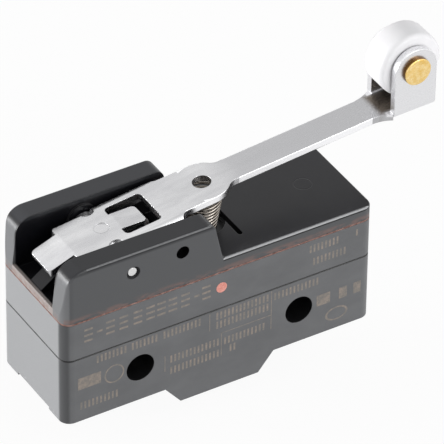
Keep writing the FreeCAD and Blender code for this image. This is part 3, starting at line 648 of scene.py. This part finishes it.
# Pad-printed ink: a thin beige film that has soaked and rubbed away in places.
PALE_INK = Finish("rubbed_beige_ink", "#8b8077", "#6f6c68", roughness=0.6, ior=1.45,
                  cloud_mm=(0.5, 0.5, 0.5), grain_mm=(0.15, 0.15, 0.15), grain_depth_mm=0.003)

# Salmon ink dot: thicker than the beige print, with a speckled edge.
DOT_INK = Finish("salmon_ink_dot", "#e0a094", "#cc7d70", roughness=0.55, ior=1.45,
                 cloud_mm=(0.3, 0.3, 0.3), grain_mm=(0.15, 0.15, 0.15), grain_depth_mm=0.01)


# Sub-assemblies.


@dataclass
class Switch:
    """The solids that stay as they are, with the finish of each."""

    finishes: dict[str, Finish] = field(default_factory=lambda: {
        "base_case": PHENOLIC, "cover": PHENOLIC, "seal_gasket": SEAL, "actuator_housing": HOUSING,
        "pivot_pin": PIN_STEEL, "lever": STAINLESS, "plunger": PLUNGER, "snap_blade": BLADE_COPPER,
        "moving_contact": SILVER, "nc_contact": SILVER, "no_contact": SILVER,
        "blade_anchor": STRIP_BRASS, "anchor_rivet": STRIP_BRASS, "com_terminal": STRIP_BRASS,
        "nc_terminal": STRIP_BRASS, "no_terminal": STRIP_BRASS, "terminal_screw_com": ZINC,
        "terminal_screw_nc": ZINC, "terminal_screw_no": ZINC, "clamp_washer_com": ZINC,
        "clamp_washer_nc": ZINC, "clamp_washer_no": ZINC, "roller": NYLON, "roller_rivet": BRASS,
        "return_spring": SPRING_WIRE})

    def dress(self, shop: "Shop") -> None:
        """Gives each solid its finish.

        Args:
            shop: keeps one material for each finish.
        """
        for name, finish in self.finishes.items():
            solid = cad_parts[name]
            for slot in solid.material_slots:
                slot.material = shop.material(finish)
            LOG.info("dressed %s in %s", name, finish.name)


@dataclass
class Shop:
    """Keeps one material for each finish, and puts finished pieces on their bodies."""

    kept: dict[str, Material] = field(default_factory=dict)

    def material(self, finish: Finish) -> Material:
        """The finish's material, made the first time.

        Args:
            finish: the finish.

        Returns:
            Its material.
        """
        if finish.name not in self.kept:
            self.kept[finish.name] = finish.material()
        return self.kept[finish.name]

    def fit(self, piece: Object, finish: Finish, body: str,
            stands_for: tuple[str, ...] = ()) -> Object:
        """Dresses a new piece and puts it on its body.

        Args:
            piece: the new piece.
            finish: its finish.
            body: the body that it moves with.
            stands_for: the solids that it stands for.

        Returns:
            The piece.
        """
        piece.data.materials.append(self.material(finish))
        if stands_for:
            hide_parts(*stands_for)
        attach(piece, body)
        LOG.info("%s: %d faces, on %s", piece.name, len(piece.data.polygons), body)
        return piece


@dataclass
class ReturnSpring:
    """Conical spring of drawn wire between the deck's recess and the lever's round head."""

    axis_x: float = 2.0
    seat_z: float = 12.25
    head_z: float = 19.56
    head_slope: float = 6.8
    wire: float = 0.38
    foot_radius: float = 1.86
    head_radius: float = 3.0
    turns: float = 11.5
    closed_share: float = 0.085
    squashed: float = 0.56
    start_degrees: float = -70.0
    plate_gap: float = 0.03
    points_a_turn: int = 40
    end_rings: int = 4
    wire_sides: int = 12

    def centre_line(self, count: int) -> tuple[np.ndarray, np.ndarray]:
        """Line in the middle of the wire.

        The radius grows evenly from foot to head. Height goes from the seat to the underside of the plate
        above the same point, so the coils fan out to the right, by a share that starts and ends slowly,
        which closes the end coils.

        Args:
            count: number of points.

        Returns:
            The points, and the outward direction at each.
        """
        t = np.linspace(0, 1, count)
        angle = math.radians(self.start_degrees) + 2 * math.pi * self.turns * t
        ease = self.closed_share
        share = np.clip((t - ease / 2) / (1 - ease), 0, 1)
        share = share + ease * 0.5 * np.sin(2 * math.pi * share) / math.pi
        radius = self.foot_radius + (self.head_radius - self.foot_radius) * t
        out = np.stack([np.cos(angle), np.sin(angle), np.zeros(count)], axis=1)
        low = self.seat_z + self.wire / 2
        slope = math.tan(math.radians(self.head_slope))
        high = self.head_z - self.wire / 2 - self.plate_gap + radius * out[:, 0] * slope
        wire_turn = self.wire / (self.head_z - self.seat_z)
        rise = wire_turn * self.turns * t * ease + (1 - wire_turn * self.turns * ease) * share
        points = out * radius[:, None]
        points[:, 0] += self.axis_x
        points[:, 2] = low + (high - low) * rise
        return points, out

    def build(self, shop: Shop) -> Object:
        """Carries a round section along the line, with rounded ends.

        Args:
            shop: dresses the piece.

        Returns:
            The spring.
        """
        count = int(self.turns * self.points_a_turn)
        path, out = self.centre_line(count)
        tangent = np.gradient(path, axis=0)
        tangent /= np.linalg.norm(tangent, axis=1, keepdims=True)
        up = np.cross(out, tangent)
        up /= np.linalg.norm(up, axis=1, keepdims=True)
        rings = self.end_rings
        bulge = np.linspace(1, 0, rings + 1)[:-1]
        reach = np.concatenate([bulge, np.zeros(count), bulge[::-1]]) * self.wire / 2
        index = np.concatenate([np.zeros(rings, int), np.arange(count), np.full(rings, count - 1)])
        sign = np.concatenate([-np.ones(rings), np.zeros(count), np.ones(rings)])
        path = path[index] + tangent[index] * (sign * reach)[:, None]
        size = np.sqrt(np.maximum((self.wire / 2) ** 2 - reach ** 2, 0))
        around = np.linspace(0, 2 * math.pi, self.wire_sides, endpoint=False)
        section = size[:, None, None] * np.stack([np.cos(around), np.sin(around)], axis=-1)[None]
        points = carried(path, out[index], up[index], section)
        quads = grid_quads(len(path), self.wire_sides, False, True)
        piece = make_piece("return_spring_coil", points, quads, sharp_degrees=80)
        shop.fit(piece, SPRING_WIRE, "case", ("return_spring",))
        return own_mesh(piece)


@dataclass
class Roller:
    """White moulded roller and the brass rivet that it turns on."""

    axis_x: float = 34.15
    axis_z: float = 29.918
    radius: float = 4.95
    half_width: float = 2.25
    bore: float = 1.31
    hub_radius: float = 2.3
    side_recess: float = 0.12
    recess_width: float = 0.75
    recess_slope: float = 0.15
    recess_round: float = 0.05
    bore_round: float = 0.08
    rim_round: float = 0.7
    roller_steps: int = 144
    rivet_radius: float = 1.25
    head_radius: float = 2.1
    tail_radius: float = 1.9
    ear_face: float = 3.5
    head_height: float = 0.6
    tail_height: float = 0.5
    crown: float = 0.05
    root_round: float = 0.03
    crown_round: float = 0.3
    head_round: float = 0.16
    tail_round: float = 0.2
    edge_drop: float = 0.02
    crown_share: float = 0.35
    shoulder_share: float = 0.62
    tail_crown_share: float = 0.5
    worked_depth: float = 0.025
    worked_below: float = 0.08
    worked_share: float = 0.9
    waves_round: int = 3
    waves_out: float = 9
    rivet_steps: int = 96

    def build_roller(self, shop: Shop) -> Object:
        """Turns the roller's closed profile: tread, rounded rims, recessed sides, hub and bore.

        Args:
            shop: dresses the piece.

        Returns:
            The roller.
        """
        half, dip = self.half_width, self.half_width - self.side_recess
        hub, width, slope = self.hub_radius, self.recess_width, self.recess_slope
        ring = [(hub, half), (hub + slope, dip), (hub + width - slope, dip), (hub + width, half)]
        side = [(self.bore, half, self.bore_round), *((r, y, self.recess_round) for r, y in ring),
                (self.radius, half, self.rim_round)]
        loop = np.array(side + [(r, -y, c) for r, y, c in side[::-1]])
        profile = rounded_profile(loop[:, :2], loop[:, 2], steps=8, closed=True)
        points, quads = turned(profile, (self.axis_x, 0, self.axis_z), self.roller_steps, True)
        piece = make_piece("roller_tread", points, quads, sharp_degrees=50)
        return shop.fit(piece, NYLON, "roller", ("roller",))

    def build_rivet(self, shop: Shop) -> Object:
        """Turns the rivet: a wide head with a worked face, the shank and a smaller closed head.

        The face of each head dips and rises by small waves that run round it, as the spinning tool
        leaves them: height = depth * sin(waves_round * a + waves_out * r) * r / R.

        Args:
            shop: dresses the piece.

        Returns:
            The rivet.
        """
        ear, face = self.ear_face, self.ear_face + self.head_height
        back, shank = self.ear_face + self.tail_height, self.rivet_radius
        head, tail = self.head_radius, self.tail_radius
        top, root, soft = self.crown, self.root_round, self.crown_round
        table = np.array([
            (0, -face - top, 0), (head * self.crown_share, -face - top, soft),
            (head * self.shoulder_share, -face, soft), (head, -face + self.edge_drop, self.head_round),
            (head, -ear, root), (shank, -ear, root), (shank, ear, root), (tail, ear, root),
            (tail, back, self.tail_round), (tail * self.tail_crown_share, back + top, soft),
            (0, back + top, 0)])
        profile = rounded_profile(table[:, :2], table[:, 2], steps=7, closed=False)
        angle = np.linspace(0, 2 * math.pi, self.rivet_steps, endpoint=False)[None, :]
        radius = profile[:, :1]
        worked = (np.abs(profile[:, 1:]) > face - self.worked_below) & (radius < head * self.worked_share)
        wave = np.sin(self.waves_round * angle + self.waves_out * radius)
        wobble = worked * self.worked_depth * wave * radius / head
        middle = (self.axis_x, 0, self.axis_z)
        points, quads = turned(profile, middle, self.rivet_steps, False, wobble)
        piece = make_piece("roller_rivet_worked", points, quads, sharp_degrees=40)
        return shop.fit(piece, BRASS, "lever", ("roller_rivet",))

    def build(self, shop: Shop) -> None:
        """Builds the roller and its rivet."""
        self.build_roller(shop)
        self.build_rivet(shop)


@dataclass
class SealBead:
    """Ragged bead of seal that shows between the cover and the housing."""

    half_length: float = 24.6
    half_width: float = 8.725
    corner: float = 1.6
    middle_z: float = 11.5
    inset: float = 0.07
    out_mean: float = 0.1
    high_mean: float = 0.13
    drift_share: float = 0.6
    waves: tuple[int, ...] = (17, 41, 73, 137, 211)
    swell_shares: tuple[float, ...] = (.18, .2, .2, .18, .14)
    swell_phases: tuple[float, ...] = (.3, 1.9, 4.1, 2.2, 5.3)
    drift_shares: tuple[float, ...] = (.2, .16, .14, .12, .1)
    drift_phases: tuple[float, ...] = (2.3, .9, 3.1, 5.2, 1.3)
    count: int = 1400
    sides: int = 10

    def outline(self, count: int) -> tuple[np.ndarray, np.ndarray]:
        """Rounded rectangle by distance along it, and its outward direction.

        Args:
            count: number of points.

        Returns:
            The points and the directions, both flat at the seal's height.
        """
        x, y, r = self.half_length - self.inset, self.half_width - self.inset, self.corner
        corners = np.array([(x, -y), (x, y), (-x, y), (-x, -y)], float)
        loop = rounded_profile(corners, np.full(4, r), steps=24, closed=True)
        loop = np.vstack([loop, loop[:1]])
        run = np.concatenate([[0], np.cumsum(np.linalg.norm(np.diff(loop, axis=0), axis=1))])
        at = np.linspace(0, run[-1], count, endpoint=False)
        flat = np.stack([np.interp(at, run, loop[:, 0]), np.interp(at, run, loop[:, 1])], axis=1)
        ahead = np.roll(flat, -1, axis=0) - np.roll(flat, 1, axis=0)
        ahead /= np.linalg.norm(ahead, axis=1, keepdims=True)
        points = np.column_stack([flat, np.full(count, self.middle_z)])
        return points, np.column_stack([ahead[:, 1], -ahead[:, 0], np.zeros(count)])

    def build(self, shop: Shop) -> Object:
        """Carries an oval along the outline.

        Its reach and height swell by a sum of five waves of unlike lengths round the outline, which
        never repeats along one side: size = mean * (1 + sum of share * sin(count * 2 pi u + phase)).

        Args:
            shop: dresses the piece.

        Returns:
            The bead.
        """
        count, sides = self.count, self.sides
        path, out = self.outline(count)
        u = np.arange(count)[:, None] / count * 2 * math.pi
        waves = np.array(self.waves)
        swell = (np.array(self.swell_shares) * np.sin(waves * u + np.array(self.swell_phases))).sum(1)
        drift = (np.array(self.drift_shares) * np.sin(waves[::-1] * u + np.array(self.drift_phases))).sum(1)
        reach = self.out_mean * (1 + swell)
        high = self.high_mean * (1 + self.drift_share * drift)
        around = np.linspace(0, 2 * math.pi, sides, endpoint=False)[None, :]
        section = np.stack([reach[:, None] * np.cos(around), high[:, None] * np.sin(around)], axis=-1)
        up = np.tile(np.array([0.0, 0.0, 1.0]), (count, 1))
        quads = grid_quads(count, sides, True, True)
        piece = make_piece("seal_bead", carried(path, out, up, section), quads, sharp_degrees=80)
        return shop.fit(piece, SEAL, "case")


@dataclass
class FrontPrint:
    """Plain bars and thin frames of pale ink on the front face, and the salmon dot."""

    face_y: float = -8.725
    proud: float = 0.008
    glyphs: tuple[float, ...] = (-20.8, -17.4, -15.3, -13.1, -11.1, -9.4, -7.6, -5.6, -2.3)
    glyph_z: float = 8.95
    glyph_size: tuple[float, float] = (1.35, 0.34)
    glyph_step: float = 0.95
    rows: tuple[tuple[float, float, float], ...] = (
        (-19.4, -14.8, 4.15), (-13.9, -9.6, 4.15), (-8.9, -3.0, 4.15), (-0.5, 7.6, 4.1), (-0.5, 7.6, 2.5),
        (0.8, 7.6, -0.7), (-7.8, -0.3, -0.5), (-7.8, -0.3, -2.5), (8.8, 16.2, 3.9), (14.4, 19.3, 9.9),
        (15.0, 20.0, 7.6), (-22.0, -16.4, -3.0), (1.7, 2.9, -2.3))
    tick: tuple[float, float] = (0.3, 1.25)
    tick_step: float = 0.62
    bars: tuple[tuple[float, float, float, float], ...] = (
        (-19.07, 8.95, 0.9, 0.34), (-3.8, 8.95, 0.8, 0.34), (21.9, 10.0, 0.3, 1.1), (-20.7, 0.9, 3.6, 2.0),
        (16.7, 0.3, 2.2, 1.9), (19.9, 0.3, 1.3, 1.9), (22.2, 0.3, 1.2, 1.9))
    lines: tuple[tuple[float, float, float, float], ...] = (
        (-8.8, -1.0, 0.12, 2.7), (0.2, -1.1, 0.12, 4.0), (-1.7, 3.4, 0.12, 3.0), (8.2, 1.7, 0.12, 6.6),
        (4.2, 0.85, 8.0, 0.12))
    rings: tuple[tuple[float, float, float, float], ...] = ((-16.8, 0.6, 1.55, 1.0), (18.9, -3.0, 1.15, 1.6))
    ring_width: float = 0.22
    ring_steps: int = 64
    dot_x: float = 0.14
    dot_z: float = 8.86
    dot_steps: int = 48
    dot_profile: tuple[tuple[float, float], ...] = (
        (0, -0.035), (0.6, -0.033), (0.72, -0.026), (0.84, 0.0), (0.74, 0.02), (0, 0.02))

    def slab_table(self) -> np.ndarray:
        """Middle and size of every straight stroke.

        A big character is three bars, one above the other. A row of small ones is a line of upright ticks
        from its first end to its second, each a step from the one before.

        Returns:
            One row a stroke: x, z, length and height.
        """
        steps = (-self.glyph_step, 0.0, self.glyph_step)
        big = [(x, self.glyph_z + rise, *self.glyph_size) for x in self.glyphs for rise in steps]
        small = [(x, z, *self.tick) for first, last, z in self.rows
                 for x in np.arange(first, last, self.tick_step).tolist()]
        return np.array(big + small + list(self.bars) + list(self.lines))

    def build_rings(self, shop: Shop) -> None:
        """Turns a thin square section about each ring's middle and stretches it along X.

        Args:
            shop: dresses the pieces.
        """
        for number, (x, z, radius, stretch) in enumerate(self.rings, 1):
            inner = radius - self.ring_width
            section = np.array([(inner, -self.proud), (radius, -self.proud), (radius, 2 * self.proud),
                                (inner, 2 * self.proud)])
            points, quads = turned(section, (0, self.face_y, z), self.ring_steps, True)
            points = points * np.array([stretch, 1, 1]) + np.array([x, 0, 0])
            shop.fit(make_piece(f"front_ring_{number}", points, quads), PALE_INK, "case")

    def build(self, shop: Shop) -> None:
        """Builds the ink strokes, the rings and the low dome of the dot.

        Args:
            shop: dresses the pieces.
        """
        table = self.slab_table()
        points, quads = slabs(table[:, :2], table[:, 2:], self.face_y, self.proud)
        shop.fit(make_piece("front_print", points, quads), PALE_INK, "case")
        self.build_rings(shop)
        middle = (self.dot_x, self.face_y, self.dot_z)
        points, quads = turned(np.array(self.dot_profile), middle, self.dot_steps, False)
        piece = make_piece("front_dot", points, quads, sharp_degrees=60)
        shop.fit(piece, DOT_INK, "case")


# Studio.


@dataclass(frozen=True)
class Softbox:
    """One soft lamp: where it stands, what it faces and how bright it looks."""

    name: str
    place: Triple
    aim: Triple
    size: tuple[float, float]
    power: float

    def build(self) -> Object:
        """Makes the lamp.

        Returns:
            The lamp.
        """
        light = bpy.data.lights.new(self.name, "AREA")
        light.shape = "RECTANGLE"
        light.size, light.size_y = self.size[0] * MM, self.size[1] * MM
        light.energy = self.power
        lamp = link_object(self.name, light)
        lamp.location = Vector(self.place) * MM
        lamp.rotation_euler = (Vector(self.aim) - Vector(self.place)).to_track_quat("-Z", "Y").to_euler()
        return lamp


@dataclass
class Studio:
    """Pale floor, soft lamps, even surroundings and the photograph's camera."""

    floor_z: float = -12.0
    floor_half: float = 3000.0
    floor_colour: str = "#f4f4f4"
    floor_glow: float = 0.93
    sky: float = 0.5
    azimuth: float = -31.345
    elevation: float = 37.412
    roll: float = 0.811
    camera_place: Triple = (-297.84, -497.78, 458.16)
    focal_px: float = 5324.97
    frame_px: int = 444
    sensor: float = 36.0
    clip_m: tuple[float, float] = (0.02, 20.0)
    boxes: tuple[Softbox, ...] = (
        Softbox("top_back_box", (-90, 400, 430), (-10, 0, 15), (420, 420), 0.2),
        Softbox("left_end_box", (-500, 260, 20), (-10, 0, 0), (260, 200), 5.0),
        Softbox("edge_box", (250, -350, 400), (0, 0, 8), (130, 130), 0.4),
        Softbox("front_low_box", (180, -560, 150), (0, 0, 5), (300, 300), 1.3),
        Softbox("right_fill_box", (520, -300, 320), (0, 0, 8), (420, 420), 0.5))

    def pale(self, tree: NodeTree) -> NodeSocket:
        """One for a ray that comes from the camera, off gloss or through glass.

        Args:
            tree: the nodes that ask.

        Returns:
            The socket.
        """
        path = add_node(tree, "LightPath").outputs
        camera, glossy, through = (path[ray.value] for ray in Ray)
        return chain(tree, "Math", camera, ("MAXIMUM", glossy), ("MAXIMUM", through))

    def build_floor(self) -> Object:
        """A plain pale sheet under the switch, near white to the eye, which keeps a soft shadow.

        From below it is clear, so that the underside of the switch can be seen.

        Returns:
            The floor.
        """
        reach = self.floor_half
        corners = ((-1, -1), (1, -1), (1, 1), (-1, 1))
        points = np.array([(x * reach, y * reach, self.floor_z) for x, y in corners])
        mesh = bpy.data.meshes.new("floor")
        mesh.from_pydata((points * MM).tolist(), [], [(0, 1, 2, 3)])
        floor = link_object("floor", mesh)
        paper = bpy.data.materials.new("white_studio_paper")
        paper.use_nodes = True
        tree = paper.node_tree
        tree.nodes.clear()
        matt = add_node(tree, "BsdfDiffuse", {"Color": linear(self.floor_colour)}).outputs[0]
        glow = add_node(tree, "Emission", {"Color": WHITE, "Strength": 1.0}).outputs[0]
        share = chain(tree, "Math", self.pale(tree), ("MULTIPLY", self.floor_glow))
        mixed = add_node(tree, "MixShader", {0: share, 1: matt, 2: glow}).outputs[0]
        clear = add_node(tree, "BsdfTransparent").outputs[0]
        below = add_node(tree, "NewGeometry").outputs["Backfacing"]
        sheet = add_node(tree, "MixShader", {0: below, 1: mixed, 2: clear}).outputs[0]
        add_node(tree, "OutputMaterial", {"Surface": sheet})
        mesh.materials.append(paper)
        return floor

    def build_sky(self) -> None:
        """Even pale surroundings, white behind the switch."""
        world = bpy.data.worlds.new("pale_surroundings")
        world.use_nodes = True
        tree = world.node_tree
        tree.nodes.clear()
        strength = add_node(tree, "MapRange", {
            "Value": self.pale(tree), "To Min": self.sky, "To Max": 1.0}).outputs[0]
        glow = add_node(tree, "Background", {"Color": WHITE, "Strength": strength}).outputs[0]
        add_node(tree, "OutputWorld", {"Surface": glow})
        bpy.context.scene.world = world

    def build_camera(self) -> Object:
        """The photograph's camera.

        Its backward axis comes from azimuth and elevation, its right-hand axis is level, and both its
        right-hand and upward axes are turned by the roll.

        Returns:
            The camera.
        """
        az, el, roll = (math.radians(v) for v in (self.azimuth, self.elevation, self.roll))
        back = Vector((math.sin(az) * math.cos(el), -math.cos(az) * math.cos(el), math.sin(el)))
        right = Vector((math.cos(az), math.sin(az), 0))
        up = back.cross(right)
        right, up = right * math.cos(roll) + up * math.sin(roll), up * math.cos(roll) - right * math.sin(roll)
        lens = bpy.data.cameras.new("camera")
        lens.sensor_fit = "HORIZONTAL"
        lens.sensor_width = self.sensor
        lens.lens = self.sensor * self.focal_px / self.frame_px
        lens.clip_start, lens.clip_end = self.clip_m
        camera = link_object("camera", lens)
        turn = Matrix((right, up, back)).transposed().to_4x4()
        camera.matrix_world = Matrix.Translation(Vector(self.camera_place) * MM) @ turn
        bpy.context.scene.camera = camera
        return camera

    def build(self) -> None:
        """Builds the camera, floor, surroundings and lamps."""
        self.build_camera()
        self.build_floor()
        self.build_sky()
        for box in self.boxes:
            box.build()
        bpy.context.scene.view_settings.view_transform = "Standard"


def main() -> None:
    """Builds the studio, dresses the solids and adds the pieces."""
    logging.basicConfig(level=logging.INFO, format="%(message)s")
    shop = Shop()
    Studio().build()
    Switch().dress(shop)
    for assembly in (ReturnSpring(), Roller(), SealBead(), FrontPrint()):
        assembly.build(shop)


if __name__ == "__main__":
    main()
